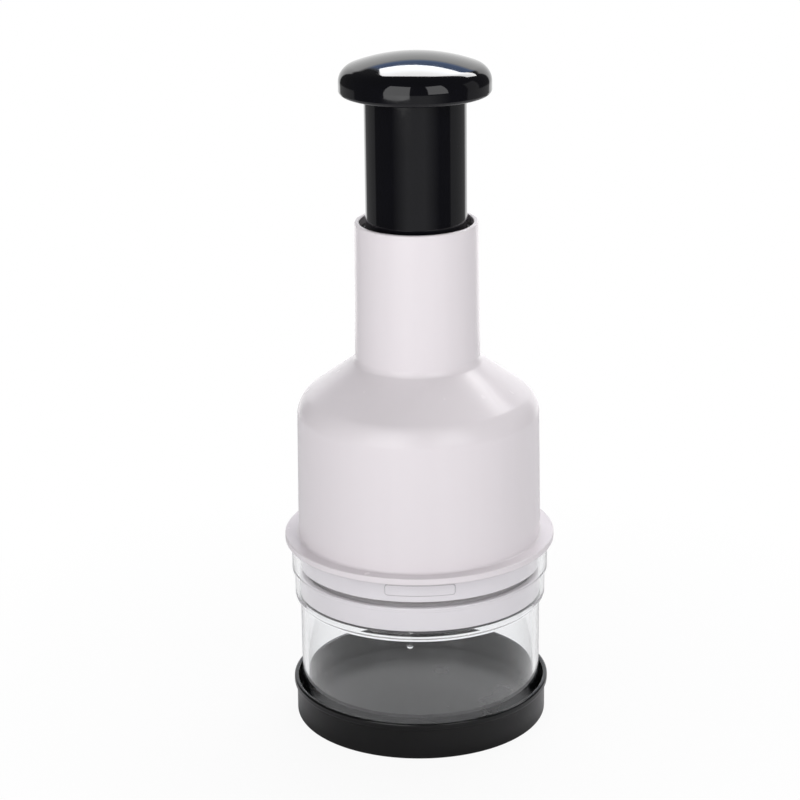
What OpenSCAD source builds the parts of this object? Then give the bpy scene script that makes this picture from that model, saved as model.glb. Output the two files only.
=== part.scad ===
// Plunger food chopper: a clear cup on a black base, a white housing with a tall neck,
// and a sprung plunger that drives three folded blades through a slotted guard.
// Millimetres, +Z up, origin at the centre of the base's underside.

/* [Base cap] */
// Height of the base cap
base_h = 13.4; // [10:0.1:18]
// Gap between the cup's wall and the base's rim
rim_gap = 1.35; // [0.8:0.05:2]
// Wall of the base's rim
base_wall = 1.6; // [1.2:0.1:2.4]
// How far the rim bead stands out from the base's side
bead_out = 0.9; // [0.6:0.1:1.2]
// Height of the rim bead
base_bead_h = 2.5; // [1.5:0.1:4]
// Height of the chopping floor inside the base
floor_h = 5; // [4:0.1:7]
// Depth of the groove that the cup stands in
groove_depth = 2; // [1:0.1:2.5]
// Depth of the recess under the base
under_recess = 2.4; // [1:0.1:3]
// Number of ribs that centre the cup in the base
centring_ribs = 8; // [3:1:16]

/* [Clear cup] */
// Height of the cup from its foot to its rim
cup_h = 61.8; // [55:0.1:75]
// Outside diameter of the lower wall
cup_d = 83.5; // [75:0.1:92]
// Thickness of the clear walls
cup_wall = 2; // [1.5:0.1:2.4]
// Depth of the wide collar, from the rim to the ledge
collar_depth = 18.8; // [16:0.1:22]
// How far the collar's rim stands out from the lower wall
collar_out = 2.7; // [2.4:0.05:3.5]
// Height of the band round the collar's rim
rim_band_h = 10.8; // [8:0.1:13]
// How far that band stands out from the collar below it
rim_band_out = 0.8; // [0.4:0.05:0.9]
// Width of the channel that locates the housing
channel_w = 29.3; // [27:0.1:36]
// Depth of that channel
channel_depth = 0.5; // [0.3:0.1:0.7]

/* [Housing] */
// How far the flange stands out over the cup's rim
flange_out = 2.2; // [1.2:0.1:4]
// Thickness of the flange
flange_t = 2.5; // [2:0.1:4]
// Depth of the skirt that enters the cup
skirt_depth = 7.8; // [6:0.1:9]
// How far the body stands out from the cup's lower wall
body_out = 0.25; // [0:0.05:1]
// How much the body draws in from its foot to the shoulder
body_draft = 0.65; // [0.3:0.05:1.2]
// Wall thickness of the housing
shell = 2; // [1.5:0.1:2.5]
// Slope of the shoulder above the horizontal
shoulder_deg = 36; // [30:1:42]
// Radius where the body turns into the shoulder
shoulder_r = 9.3; // [6:0.1:12]
// Wall of the neck at its rim
neck_wall = 1.6; // [1.3:0.1:2.5]
// How much the neck draws in from its foot to its rim
neck_draft = 0.45; // [0.2:0.05:1]
// Height of the neck above the shoulder
neck_h = 47.8; // [40:0.1:60]
// Width of the lug on the skirt
lug_w = 23.6; // [18:0.1:26]
// Height of the lug
lug_h = 4.3; // [3:0.1:5]

/* [Plunger] */
// Diameter of the stem tube
stem_d = 34.2; // [31:0.1:38]
// Wall of the stem tube
stem_wall = 2.5; // [2:0.1:3]
// Diameter of the knob
knob_d = 51; // [46:0.5:60]
// Height of the knob
knob_h = 13.3; // [12:0.1:18]
// Radius of the knob's crown
crown_r = 62; // [48:1:90]
// Radius of the knob's upper edge
knob_edge_r = 6; // [3:0.1:7]
// How far the stem tube goes up into the knob
knob_socket = 5; // [3:0.5:6]
// Ribs under the knob
knob_ribs = 10; // [6:1:16]

/* [Blades and guard] */
// Thickness of the blade strip
blade_t = 0.8; // [0.5:0.1:1]
// Height of the cutting band
band_h = 16; // [10:1:22]
// Height of the ground edge
bevel_h = 1.6; // [0.8:0.1:2.5]
// Width of each leg of a blade
leg_w = 6; // [4:0.5:6.5]
// Clearance of a blade in its slot
slot_gap = 0.6; // [0.4:0.05:0.8]
// How far the guard laps over the cup's ledge
guard_lap = 1.85; // [1.2:0.05:1.95]
// Thickness of the guard's floor
guard_floor = 2.5; // [2:0.1:3.5]
// Number of hooks that hold the guard
guard_hooks = 6; // [3:1:8]
// Thickness of the blade holder
holder_t = 4; // [3:0.1:5]
// Thickness of the plate over it
cap_t = 2.5; // [2:0.1:4]

/* [Turning gear] */
// Turn of the blades in one full press, in degrees
turn_deg = 30; // [15:1:45]
// Width of the twisted square bar
bar_w = 7; // [5:0.1:7.5]
// Diameter of the bar's round shank
shank_d = 6; // [4:0.1:6.5]
// Number of teeth in the face ratchet
ratchet_teeth = 12; // [8:1:24]
// Height of the ratchet teeth
tooth_h = 1.2; // [0.6:0.1:1.5]

/* [Return spring] */
// Wire diameter
wire_d = 1.8; // [1.2:0.1:2]
// Gap between the coil and the stem's bore
spring_gap = 2.2; // [1:0.1:2.5]
// Number of turns
coils = 14; // [10:1:18]

/* [Clearances] */
// Radial clearance of a sliding or turning fit
run_fit = 0.08; // [0.03:0.01:0.1]
// Radial clearance between pieces fixed to each other
seat_fit = 0.05; // [0.02:0.01:0.1]
// Clearance between faces that pass each other
pass_gap = 0.3; // [0.2:0.05:0.5]
// Gap between the guard and the housing's skirt
guard_gap = 2.1; // [1.5:0.1:3]
// Height of the blade tips above the floor at full press
tip_gap = 0.5; // [0.3:0.1:1]

/* [Hidden] */
$fn = 96;

black = [0.07, 0.07, 0.08];
white = [0.91, 0.89, 0.90];
clear = [0.86, 0.90, 0.92, 0.35];
steel = [0.72, 0.73, 0.75];
acetal = [0.93, 0.92, 0.87];

// ---- Base and cup, from the table up ----
cup_foot_z = floor_h - groove_depth;
cup_r = cup_d / 2;
cup_bore_r = cup_r - cup_wall;
cup_top_z = cup_foot_z + cup_h;
ledge_z = cup_top_z - collar_depth;
guard_r = cup_bore_r + guard_lap;
collar_r = cup_r + collar_out;
collar_bore_r = guard_r + 0.5;
collar_low_r = collar_r - rim_band_out;
rim_band_z = cup_top_z - rim_band_h;
step_drop = 2.6;

// ---- Guard, blades and stroke ----
guard_z = ledge_z + pass_gap;
guard_wall = 2;
hook_ring_t = 0.7;
tip_z = guard_z + 0.2;
stroke = tip_z - floor_h - tip_gap;
band_top_z = tip_z + band_h;
holder_z = guard_z + guard_floor + stroke + 1.7;
cap_z = holder_z + holder_t;
cap_top_z = cap_z + cap_t;
hub_r = 8;
hub_bore_r = bar_w * 0.7072 + 0.95;
hub_h = 3;
hub_top_z = cap_top_z + hub_h;

// ---- Housing ----
flange_z = cup_top_z;
flange_r = collar_r + flange_out;
skirt_z = flange_z - skirt_depth;
guard_top_z = skirt_z - guard_gap;
skirt_r = collar_bore_r - 0.7;
skirt_bore_r = skirt_r - shell;
body_low_r = cup_r + body_out;
body_high_r = body_low_r - body_draft;
gear_gap = 2.5;
gear_z = hub_top_z + gear_gap;
corner_over_gear = 11.6;
corner_z = gear_z + corner_over_gear;
stem_r = stem_d / 2;
bore_r = stem_r + 1.5;
pocket_r = bore_r + 0.6;
neck_high_r = pocket_r + neck_wall;
neck_low_r = neck_high_r + neck_draft;
neck_z = corner_z + (body_high_r - neck_low_r) * tan(shoulder_deg);
neck_top_z = neck_z + neck_h;
// Height of the inside of the shoulder at radius r
function shoulder_under(r) = corner_z + (body_high_r - r) * tan(shoulder_deg) - shell / cos(shoulder_deg);

// The lip in the skirt and the hooks that hang the guard from it
lip_reach = 1.8;
lip_r = skirt_bore_r - lip_reach;
hook_t = 1.2;
hook_r = lip_r - hook_t - 0.4;
holder_r = hook_r - 1;
lip_z = skirt_z + 3;
lip_t = 2;
barb_z = lip_z + lip_t + pass_gap;

// ---- Neck collar and stem ----
stem_bore_r = stem_r - stem_wall;
neck_ring_depth = 9;
neck_ring_z = neck_top_z - neck_ring_depth;
neck_ring_h = 6.5;
stem_stop_z = neck_ring_z - pass_gap;
stem_foot_h = 5;
stem_z = stem_stop_z - stem_foot_h;
knob_stop_gap = 2.3;
knob_z = neck_top_z + stroke + knob_stop_gap;
knob_r = knob_d / 2;
knob_top_z = knob_z + knob_h;
stem_top_z = knob_z + knob_socket;

// ---- Top bearing inside the stem ----
plug_t = 7;
plug_depth = 2;
plug_top_z = knob_z - plug_depth;
plug_z = plug_top_z - plug_t;
spring_cap_t = 1.5;
spring_cap_z = plug_z - spring_cap_t;
washer_t = 0.9;
shank_r = shank_d / 2;
clip_z = plug_top_z + 0.2;
clip_t = 1;
shank_top_z = clip_z + clip_t + 2.2;

// ---- Turning gear in the barrel's floor ----
barrel_floor_t = 3.5;
barrel_wall = 2.2;
barrel_floor_z = gear_z + barrel_floor_t;
barrel_top_z = shoulder_under(bore_r + barrel_wall) - 0.6;
barrel_flange_z = gear_z + 8.5;
barrel_flange_t = 2.5;
barrel_flange_r = bore_r + barrel_wall + 9.2;
barrel_screw_r = barrel_flange_r - 4;
screw_r = 1.2;
screw_len = 9.5;
ring_t = 2;
key_w = 3;
ring_z = barrel_floor_z - ring_t;
coil_d = 2 * (stem_bore_r - spring_gap) - wire_d;
ring_r = coil_d / 2 + 1.5;
spigot_r = bar_w * 0.7072 + 3;
nut_flange_t = 3.2;
spring_z = barrel_floor_z + nut_flange_t;
nut_top_z = spring_z + 2.3;
nut_mid_z = (gear_z + nut_top_z) / 2;
bar_gap = 0.35;
twist_per_mm = turn_deg / stroke;
socket_depth = 3;
bar_foot_z = holder_z + socket_depth;
hub_screw_r = 2;
hub_screw_len = 7;
bar_collar_t = 1.3;
twist_z = hub_top_z + bar_collar_t;
twist_h = nut_top_z + stroke + 3 - twist_z;

// Each blade is a strip with four panels: these are its folds, seen from above
w_pitch = holder_r * 0.486;
w_half = holder_r * 0.257;
outer_pitch = holder_r * 0.38;
outer_near = holder_r * 0.4;
outer_far = holder_r * 0.886;
middle_folds = [for (i = [-2:2]) [i * w_pitch, (abs(i) % 2 == 1 ? 1 : -1) * w_half]];
back_folds = [for (i = [-2:2]) [i * outer_pitch, abs(i) % 2 == 1 ? outer_far : outer_near]];
front_folds = [for (p = back_folds) [-p.x, -p.y]];

// ---- Profiles ----
// Corners given as [r, z, fillet radius] become an outline with round fillets
function unit(v) = v / norm(v);
function fillet(a, b, c, rad) =
    let (
        u = unit(a - b),
        v = unit(c - b),
        half = acos(max(-1, min(1, u * v))) / 2,
        centre = b + unit(u + v) * rad / sin(half),
        reach = rad / tan(half),
        from = b + u * reach - centre,
        to = b + v * reach - centre,
        a0 = atan2(from.y, from.x),
        turn = atan2(to.y, to.x) - a0,
        sweep = turn > 180 ? turn - 360 : turn < -180 ? turn + 360 : turn,
        steps = rad > 5 ? 10 : rad > 1.5 ? 6 : 3
    )
    [for (i = [0:steps]) centre + rad * [cos(a0 + sweep * i / steps), sin(a0 + sweep * i / steps)]];
function rounded(corners) =
    let (n = len(corners))
    [for (i = [0:n - 1])
        let (
            b = corners[i],
            a = corners[(i + n - 1) % n],
            c = corners[(i + 1) % n]
        )
        each b[2] == 0 ? [[b.x, b.y]] : fillet([a.x, a.y], [b.x, b.y], [c.x, c.y], b[2])];

module turned(corners) {
    rotate_extrude() polygon(rounded(corners));
}

module ring(outer, inner, h) {
    difference() {
        cylinder(r = outer, h = h);
        translate([0, 0, -1]) cylinder(r = inner, h = h + 2);
    }
}

// A flat rectangle with exact round corners
module round_rect(w, h, r) {
    square([w - 2 * r, h], center = true);
    square([w, h - 2 * r], center = true);
    for (x = [-1, 1], y = [-1, 1]) translate([x * (w / 2 - r), y * (h / 2 - r)]) circle(r);
}

// A cross-head screw with its head's underside at z = 0 and its shank pointing down
module pan_screw(head_r, head_h, shank_radius, length) {
    difference() {
        union() {
            turned([[0, 0, 0], [head_r, 0, 0], [head_r, head_h, head_h * 0.6], [0, head_h, 0]]);
            translate([0, 0, -length]) cylinder(r = shank_radius, h = length + 0.1);
        }
        for (a = [0, 90]) rotate([0, 0, a])
            translate([-head_r * 0.6, -0.3, head_h * 0.4]) cube([head_r * 1.2, 0.6, head_h]);
    }
}

// ---- Base cap ----
module base_cap() {
    rim_bore_r = cup_r + rim_gap;
    rim_r = rim_bore_r + base_wall;
    side_r = rim_r - bead_out;
    floor_r = cup_bore_r - 0.45;
    foot_r = side_r - 5;
    bead_z = base_h - base_bead_h;
    color(black) {
        turned([
            [0, under_recess, 0], [foot_r, under_recess, 0.6], [foot_r, 0, 0.4],
            [side_r, 0, 0.8], [side_r, bead_z, 0.3], [rim_r, bead_z, 0.8],
            [rim_r, base_h, 0.7], [rim_bore_r, base_h, 0.7],
            [rim_bore_r, cup_foot_z, 0], [floor_r, cup_foot_z, 0],
            [floor_r, floor_h, 0.5], [0, floor_h, 0]
        ]);
        rib_gap = 0.25;
        for (i = [0:centring_ribs - 1]) rotate([0, 0, (i + 0.5) * 360 / centring_ribs])
            translate([cup_r + rib_gap, -0.6, cup_foot_z - 0.2])
                cube([rim_gap - rib_gap + 0.3, 1.2, base_h - floor_h]);
    }
}

// ---- Clear cup ----
module clear_cup() {
    color(clear) difference() {
        turned([
            [cup_bore_r, cup_foot_z, 0.3], [cup_r, cup_foot_z, 0.5],
            [cup_r, ledge_z - step_drop, 0.8], [collar_low_r - 0.1, ledge_z - step_drop + 1, 0.8],
            [collar_low_r, rim_band_z, 0.3], [collar_r, rim_band_z + 0.3, 0.3],
            [collar_r, cup_top_z, 0.4], [collar_bore_r, cup_top_z, 0.4],
            [collar_bore_r, ledge_z, 0], [cup_bore_r, ledge_z, 0.6]
        ]);
        intersection() {
            translate([0, 0, ledge_z]) cylinder(r = collar_bore_r + channel_depth, h = collar_depth + 1);
            translate([-channel_w / 2, -collar_r, ledge_z])
                cube([channel_w, collar_r - cup_bore_r / 2, collar_depth + 1]);
        }
    }
}

// ---- Housing ----
module housing() {
    color(white) {
        difference() {
            union() {
                housing_shell();
                for (i = [0:2]) rotate([0, 0, 90 + i * 120]) screw_boss();
            }
            for (i = [0:2]) rotate([0, 0, 90 + i * 120])
                translate([barrel_screw_r, 0, barrel_flange_z]) cylinder(r = screw_r + seat_fit, h = screw_len + 0.5);
        }
        skirt_lug();
    }
}

module housing_shell() {
    inner_low = body_low_r - shell;
    inner_high = body_high_r - shell;
    inner_corner_z = corner_z - shell * tan((90 - shoulder_deg) / 2);
    bead_z = neck_ring_z + neck_ring_h / 2;
    turned([
        [skirt_r, skirt_z, 0.5], [skirt_r, flange_z, 0.4],
        [flange_r, flange_z, 0.8], [flange_r, flange_z + flange_t, 0.4],
        [body_low_r, flange_z + flange_t, 0.8], [body_high_r, corner_z, shoulder_r],
        [neck_low_r, neck_z, 3], [neck_high_r, neck_top_z, 0.6],
        [pocket_r, neck_top_z, 0.5],
        [pocket_r, bead_z + 0.8, 0], [pocket_r + 0.4, bead_z + 0.4, 0],
        [pocket_r + 0.4, bead_z - 0.4, 0], [pocket_r, bead_z - 0.8, 0],
        [pocket_r, neck_ring_z, 0],
        [bore_r, neck_ring_z, 0], [bore_r, shoulder_under(bore_r), 1],
        [inner_high, inner_corner_z, shoulder_r - shell],
        [inner_low, flange_z + flange_t + 1, 0], [skirt_bore_r, flange_z, 0],
        [skirt_bore_r, lip_z + lip_t, 0], [lip_r, lip_z + lip_t, 0],
        [lip_r, lip_z, 0], [skirt_bore_r, lip_z - 1, 0], [skirt_bore_r, skirt_z, 0.4]
    ]);
}

// A screw boss that hangs from the shoulder and stops inside its wall
module screw_boss() {
    boss_z = barrel_flange_z + barrel_flange_t;
    cone_h = 30;
    intersection() {
        translate([barrel_screw_r, 0, boss_z]) cylinder(r = 3.6, h = cone_h);
        translate([0, 0, corner_z - 1])
            cylinder(r1 = body_high_r, r2 = body_high_r - cone_h / tan(shoulder_deg), h = cone_h);
    }
}

// The lug on the front of the skirt that drops into the cup's channel
module skirt_lug() {
    lug_z = flange_z - 1.2 - lug_h / 2;
    intersection() {
        translate([0, 0, skirt_z]) ring(skirt_r + 0.45, skirt_r - 0.5, skirt_depth);
        translate([0, 0, lug_z]) rotate([90, 0, 0]) linear_extrude(skirt_r + 5) round_rect(lug_w, lug_h, 1.2);
    }
}

// ---- Ring that closes the neck round the stem ----
module neck_collar() {
    bead_z = neck_ring_z + neck_ring_h / 2;
    outer = pocket_r - seat_fit;
    color(black) turned([
        [stem_r + run_fit, neck_ring_z, 0.3], [outer, neck_ring_z, 0],
        [outer, bead_z - 0.6, 0], [outer + 0.35, bead_z - 0.25, 0],
        [outer + 0.35, bead_z + 0.25, 0], [outer, bead_z + 0.6, 0],
        [outer, neck_ring_z + neck_ring_h, 0.5], [stem_r + run_fit, neck_ring_z + neck_ring_h, 0.5]
    ]);
}

// ---- Barrel that holds the spring and the turning gear ----
module spring_barrel() {
    outer = bore_r + barrel_wall;
    color(white) difference() {
        union() {
            turned([
                [spigot_r + 0.4, gear_z, 0], [outer, gear_z, 1.2],
                [outer, barrel_flange_z, 0], [barrel_flange_r, barrel_flange_z, 0.8],
                [barrel_flange_r, barrel_flange_z + barrel_flange_t, 0.8],
                [outer, barrel_flange_z + barrel_flange_t, 0.8],
                [outer, barrel_top_z, 0.6], [bore_r, barrel_top_z, 0.6],
                [bore_r, barrel_floor_z, 0.8], [ring_r + seat_fit, barrel_floor_z, 0],
                [ring_r + seat_fit, ring_z, 0], [spigot_r + 0.4, ring_z, 0]
            ]);
            for (i = [0:5]) rotate([0, 0, 60 + i * 60]) translate([outer - 1, -0.9, gear_z + 3])
                cube([5, 1.8, barrel_flange_z - gear_z - 2]);
        }
        for (i = [0:2]) rotate([0, 0, 90 + i * 120]) translate([barrel_screw_r, 0, barrel_flange_z - 1])
            cylinder(r = screw_r + pass_gap, h = barrel_flange_t + 2);
        for (i = [0:2]) rotate([0, 0, i * 120]) ring_key(seat_fit);
    }
}

module ring_key(gap) {
    translate([ring_r - 0.6, -key_w / 2 - gap, ring_z]) cube([2 + gap, key_w + 2 * gap, ring_t + 0.01]);
}

module barrel_screws() {
    color(steel) for (i = [0:2]) rotate([0, 0, 90 + i * 120])
        translate([barrel_screw_r, 0, barrel_flange_z]) rotate([180, 0, 0]) pan_screw(2.6, 1.7, screw_r, screw_len);
}

// ---- Face ratchet: saw teeth that drive one way and slip the other ----
module saw_teeth(inner, outer, z) {
    tooth_w = 2 * outer * sin(180 / ratchet_teeth);
    intersection() {
        translate([0, 0, z - 0.5]) ring(outer, inner, tooth_h + 1);
        union() for (i = [0:ratchet_teeth - 1]) rotate([0, 0, i * 360 / ratchet_teeth])
            translate([inner / 2, 0, z]) rotate([90, 0, 90])
                linear_extrude(outer) polygon([[0, -0.5], [tooth_w, -0.5], [tooth_w, 0], [0, tooth_h]]);
    }
}

module ratchet_ring() {
    color(acetal) {
        translate([0, 0, ring_z]) ring(ring_r, spigot_r + run_fit, ring_t);
        saw_teeth(spigot_r + 0.6, ring_r - 0.4, barrel_floor_z);
        intersection() {
            union() for (i = [0:2]) rotate([0, 0, i * 120]) ring_key(0);
            translate([0, 0, ring_z]) ring(ring_r + 1.4, ring_r - 0.5, ring_t);
        }
    }
}

// The nut that the twisted bar slides through: its bore has the bar's own twist
module index_nut() {
    nut_h = nut_top_z - gear_z;
    color(acetal) difference() {
        union() {
            translate([0, 0, gear_z]) cylinder(r = spigot_r, h = nut_h);
            translate([0, 0, barrel_floor_z + 0.05]) cylinder(r = ring_r, h = nut_flange_t - 0.05);
            translate([0, 0, spring_z]) cylinder(r = coil_d / 2 - wire_d / 2 - 0.8, h = nut_top_z - spring_z);
        }
        translate([0, 0, 0.05]) saw_teeth(spigot_r + 0.2, ring_r + 0.2, barrel_floor_z);
        twisted_square(bar_w + 2 * bar_gap, gear_z - 1, nut_h + 2);
    }
}

// A square of width w, twisted so that it stands straight at the middle of the nut
module twisted_square(w, z, h) {
    translate([0, 0, z]) rotate([0, 0, (nut_mid_z - z) * twist_per_mm])
        linear_extrude(height = h, twist = h * twist_per_mm, slices = ceil(h / 2), segments = 4)
            square(w, center = true);
}

// ---- Return spring: a coil with closed ends, as one tube ----
function coil_height(turn) =
    let (
        end_pitch = wire_d + 0.5,
        span = spring_cap_z - spring_z - wire_d - 0.1,
        open_pitch = (span - 2 * end_pitch) / (coils - 2),
        low = min(turn, 1),
        high = max(turn - (coils - 1), 0)
    )
    spring_z + wire_d / 2 + 0.05 + (low + high) * end_pitch + (turn - low - high) * open_pitch;
coil_rings = 12;
coil_sides = 6;
coil_points = [for (i = [0:coils * coil_rings], s = [0:coil_sides - 1])
    let (
        turn = i / coil_rings,
        angle = 360 * turn,
        around = 360 * s / coil_sides,
        radius = coil_d / 2 + wire_d / 2 * cos(around)
    )
    [radius * cos(angle), radius * sin(angle), coil_height(turn) + wire_d / 2 * sin(around)]];
coil_last = coils * coil_rings * coil_sides;
coil_faces = concat(
    [[for (s = [0:coil_sides - 1]) s]],
    [for (i = [0:coils * coil_rings - 1], s = [0:coil_sides - 1], half = [0, 1])
        let (
            a = i * coil_sides + s,
            b = i * coil_sides + (s + 1) % coil_sides
        )
        half == 0 ? [a, a + coil_sides, b + coil_sides] : [a, b + coil_sides, b]],
    [[for (s = [coil_sides - 1:-1:0]) coil_last + s]]
);
// Least gap between one turn and the next, measured on the tube's centre line
coil_gap = min([for (i = [0:(coils - 1) * coil_rings])
    coil_height(i / coil_rings + 1) - coil_height(i / coil_rings)]) - wire_d;
echo(least_gap_between_turns = coil_gap);

module return_spring() {
    color(steel) polyhedron(points = coil_points, faces = coil_faces, convexity = 10);
}

// ---- Plunger ----
module stem_tube() {
    color(black) turned([
        [stem_bore_r, stem_z, 0.6], [bore_r - 0.1, stem_z, 0.8],
        [bore_r - 0.1, stem_stop_z, 0.4], [stem_r, stem_stop_z, 0],
        [stem_r, stem_top_z, 0.3], [stem_bore_r, stem_top_z, 0.3]
    ]);
}

module knob() {
    spigot = stem_bore_r - seat_fit;
    socket_r = stem_r + seat_fit;
    edge_z = knob_top_z - (crown_r - sqrt(crown_r * crown_r - knob_r * knob_r));
    crown_steps = 10;
    hollow_r = stem_bore_r - 2.6;
    hollow_top_z = crown_point(hollow_r).y - 3;
    rim_in = knob_r - 2.4;
    groove_in = socket_r + 2;
    groove_z = edge_z - 2.4;
    color(black) {
        difference() {
            rotate_extrude() polygon(concat(
                rounded([[knob_r - knob_edge_r, knob_z, 0], [knob_r, knob_z, 1.5],
                    [knob_r, edge_z, knob_edge_r], crown_point(knob_r - knob_edge_r * 2)]),
                [for (i = [crown_steps:-1:0])
                    let (r = (knob_r - knob_edge_r * 2) * i / crown_steps)
                    [r, crown_point(r).y]],
                [[0, plug_top_z], [spigot, plug_top_z], [spigot, knob_z]]
            ));
            translate([0, 0, plug_top_z - 1]) cylinder(r = hollow_r, h = hollow_top_z - plug_top_z + 1);
            translate([0, 0, knob_z - 1]) ring(socket_r, spigot, knob_socket + 1);
            translate([0, 0, knob_z - 1]) ring(rim_in, groove_in, groove_z - knob_z + 1);
        }
        for (i = [0:knob_ribs - 1]) rotate([0, 0, i * 360 / knob_ribs])
            translate([groove_in - 0.3, -0.6, knob_z + 1]) cube([rim_in - groove_in + 0.6, 1.2, groove_z - knob_z - 0.7]);
    }
}

// A point of the knob's crown at radius r, with no fillet
function crown_point(r) = [r, knob_top_z - crown_r + sqrt(crown_r * crown_r - r * r), 0];

module bearing_plug() {
    outer = stem_bore_r - seat_fit;
    color(acetal) turned([
        [shank_r + run_fit, plug_z, 0], [outer, plug_z, 0.4],
        [outer, plug_top_z, 0.4], [outer - 3, plug_top_z, 0],
        [outer - 3, plug_top_z - 2, 0], [hub_r, plug_top_z - 2, 0],
        [hub_r, plug_top_z, 0.4], [shank_r + run_fit, plug_top_z, 0]
    ]);
}

module spring_cap() {
    color(steel) translate([0, 0, spring_cap_z]) ring(stem_bore_r - 0.4, shank_r + 4.6, spring_cap_t);
}

// ---- Twisted bar with its round shank ----
module drive_bar() {
    collar_top = plug_z - washer_t - 0.1;
    color(steel) difference() {
        union() {
            translate([-bar_w / 2, -bar_w / 2, bar_foot_z]) cube([bar_w, bar_w, hub_top_z - bar_foot_z + 0.5]);
            translate([0, 0, hub_top_z]) cylinder(r = bar_w * 0.7072 + 1.4, h = bar_collar_t);
            twisted_square(bar_w, twist_z - 0.2, twist_h + 0.2);
            translate([0, 0, twist_z + twist_h - 0.5]) cylinder(r = shank_r, h = shank_top_z - twist_z - twist_h + 0.5);
            translate([0, 0, collar_top - 3]) cylinder(r = shank_r + 2.2, h = 3);
        }
        translate([0, 0, bar_foot_z - 1]) cylinder(r = hub_screw_r + seat_fit, h = hub_screw_len + 2);
        translate([0, 0, clip_z - 0.05]) ring(shank_r + 1, shank_r - 0.6, clip_t + 0.1);
    }
}

module thrust_washer() {
    color(acetal) translate([0, 0, plug_z - washer_t - 0.05]) ring(shank_r + 3.6, shank_r + seat_fit, washer_t);
}

module shaft_clip() {
    color(steel) translate([0, 0, clip_z]) difference() {
        ring(shank_r + 2.8, shank_r - 0.6 + seat_fit, clip_t);
        translate([0, -shank_r + 0.8, -1]) cube([shank_r + 4, 2 * shank_r - 1.6, clip_t + 2]);
        for (a = [115, 245]) rotate([0, 0, a]) translate([shank_r + 0.4, 0, -1]) cylinder(r = 0.9, h = clip_t + 2);
    }
}

// ---- Blade holder ----
holder_screw_at = [holder_r * 0.843, holder_r * 0.357];
module at_holder_screws() {
    for (x = [-1, 1], y = [-1, 1]) translate([x * holder_screw_at.x, y * holder_screw_at.y, 0]) children();
}

module drain_holes(z, h) {
    for (x = [-1, 1], y = [-1, 1])
        translate([x * holder_r * 0.471, y * holder_r * 0.329, z]) cylinder(r = holder_r * 0.128, h = h);
    for (y = [-1, 1]) translate([0, y * holder_r * 0.843, z]) cylinder(r = holder_r * 0.1, h = h);
}

module blade_holder() {
    color(white) difference() {
        turned([[0, holder_z, 0], [holder_r, holder_z, 0.8], [holder_r, cap_z, 0.3], [0, cap_z, 0]]);
        translate([0, 0, holder_z - 1]) cylinder(r = hub_bore_r, h = bar_foot_z - holder_z + 1);
        square_socket(bar_foot_z - 1, holder_t + 2);
        drain_holes(holder_z - 1, holder_t + 2);
        at_holder_screws() translate([0, 0, holder_z + 0.8]) cylinder(r = screw_r + seat_fit, h = holder_t);
        for (folds = [front_folds, middle_folds, back_folds]) leg_slots(folds);
    }
}

module square_socket(z, h) {
    w = bar_w + 2 * seat_fit;
    translate([-w / 2, -w / 2, z]) cube([w, w, h]);
}

module leg_slots(folds) {
    at_panels(folds) translate([-leg_w / 2 - seat_fit, -blade_t / 2 - seat_fit, holder_z - 1])
        cube([leg_w + 2 * seat_fit, blade_t + 2 * seat_fit, holder_t + 2]);
}

module holder_cap() {
    color(white) difference() {
        union() {
            turned([[0, cap_z, 0], [holder_r, cap_z, 0.3], [holder_r, cap_top_z, 0.8], [0, cap_top_z, 0]]);
            translate([0, 0, cap_z]) cylinder(r = hub_r, h = hub_top_z - cap_z);
        }
        square_socket(cap_z - 1, hub_top_z - cap_z + 2);
        drain_holes(cap_z - 1, cap_t + 2);
        at_holder_screws() translate([0, 0, cap_z - 1]) cylinder(r = screw_r + pass_gap, h = cap_t + 2);
    }
}

module holder_screws() {
    color(steel) at_holder_screws() translate([0, 0, cap_top_z]) pan_screw(2.4, 1.5, screw_r, cap_t + holder_t - 1.2);
}

module hub_washer() {
    color(steel) translate([0, 0, bar_foot_z - 0.7]) ring(hub_bore_r - pass_gap, hub_screw_r + seat_fit, 0.7);
}

module hub_screw() {
    color(steel) translate([0, 0, bar_foot_z - 0.7]) rotate([180, 0, 0]) pan_screw(3.6, 2, hub_screw_r, hub_screw_len);
}

// ---- Blades ----
// Children are drawn at the middle of each panel, along X
module at_panels(folds) {
    for (i = [0:len(folds) - 2]) {
        run = folds[i + 1] - folds[i];
        middle = (folds[i + 1] + folds[i]) / 2;
        translate([middle.x, middle.y, 0]) rotate([0, 0, atan2(run.y, run.x)]) children();
    }
}

// The outline of a folded strip, offset to each side of its centre line and mitred at the folds
function side_line(folds, offset) = [for (i = [0:len(folds) - 1])
    let (
        before = unit(i > 0 ? folds[i] - folds[i - 1] : folds[1] - folds[0]),
        after = unit(i < len(folds) - 1 ? folds[i + 1] - folds[i] : folds[i] - folds[i - 1]),
        mitre = unit(before + after),
        normal = [-mitre.y, mitre.x]
    )
    folds[i] + normal * offset / (mitre * before)];
function strip_ring(folds, half, z) = [
    for (p = side_line(folds, half)) [p.x, p.y, z],
    for (i = [len(folds) - 1:-1:0]) let (p = side_line(folds, -half)[i]) [p.x, p.y, z]
];

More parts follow.
